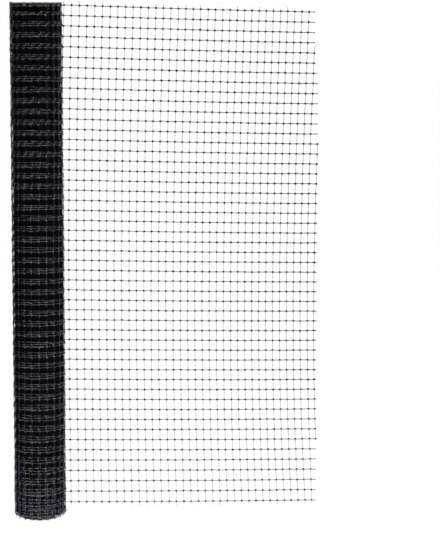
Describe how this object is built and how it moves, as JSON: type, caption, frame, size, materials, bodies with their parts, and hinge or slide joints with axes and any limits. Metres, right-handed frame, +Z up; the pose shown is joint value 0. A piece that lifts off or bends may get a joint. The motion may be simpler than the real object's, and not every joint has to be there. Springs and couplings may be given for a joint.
{
  "type": "bird netting roll",
  "caption": "Coil of black plastic bird netting that lies on its side, with its cut free end pulled out flat beside it.",
  "frame": {"origin": "middle of the bounding box, on the floor that the netting lies on", "axes": "+X from the coil towards the cut end of the sheet, +Y along the coil, +Z up"},
  "size_m": [0.5978, 1.0066, 0.1007],
  "materials": {
    "wound net": "black extruded strands with a soft gloss, wound in many turns",
    "loose net": "black extruded strands with a soft gloss and thicker knots"
  },
  "bodies": {
    "root": {"net_roll": "wound net", "net_sheet": "loose net"}
  },
  "joints": []
}
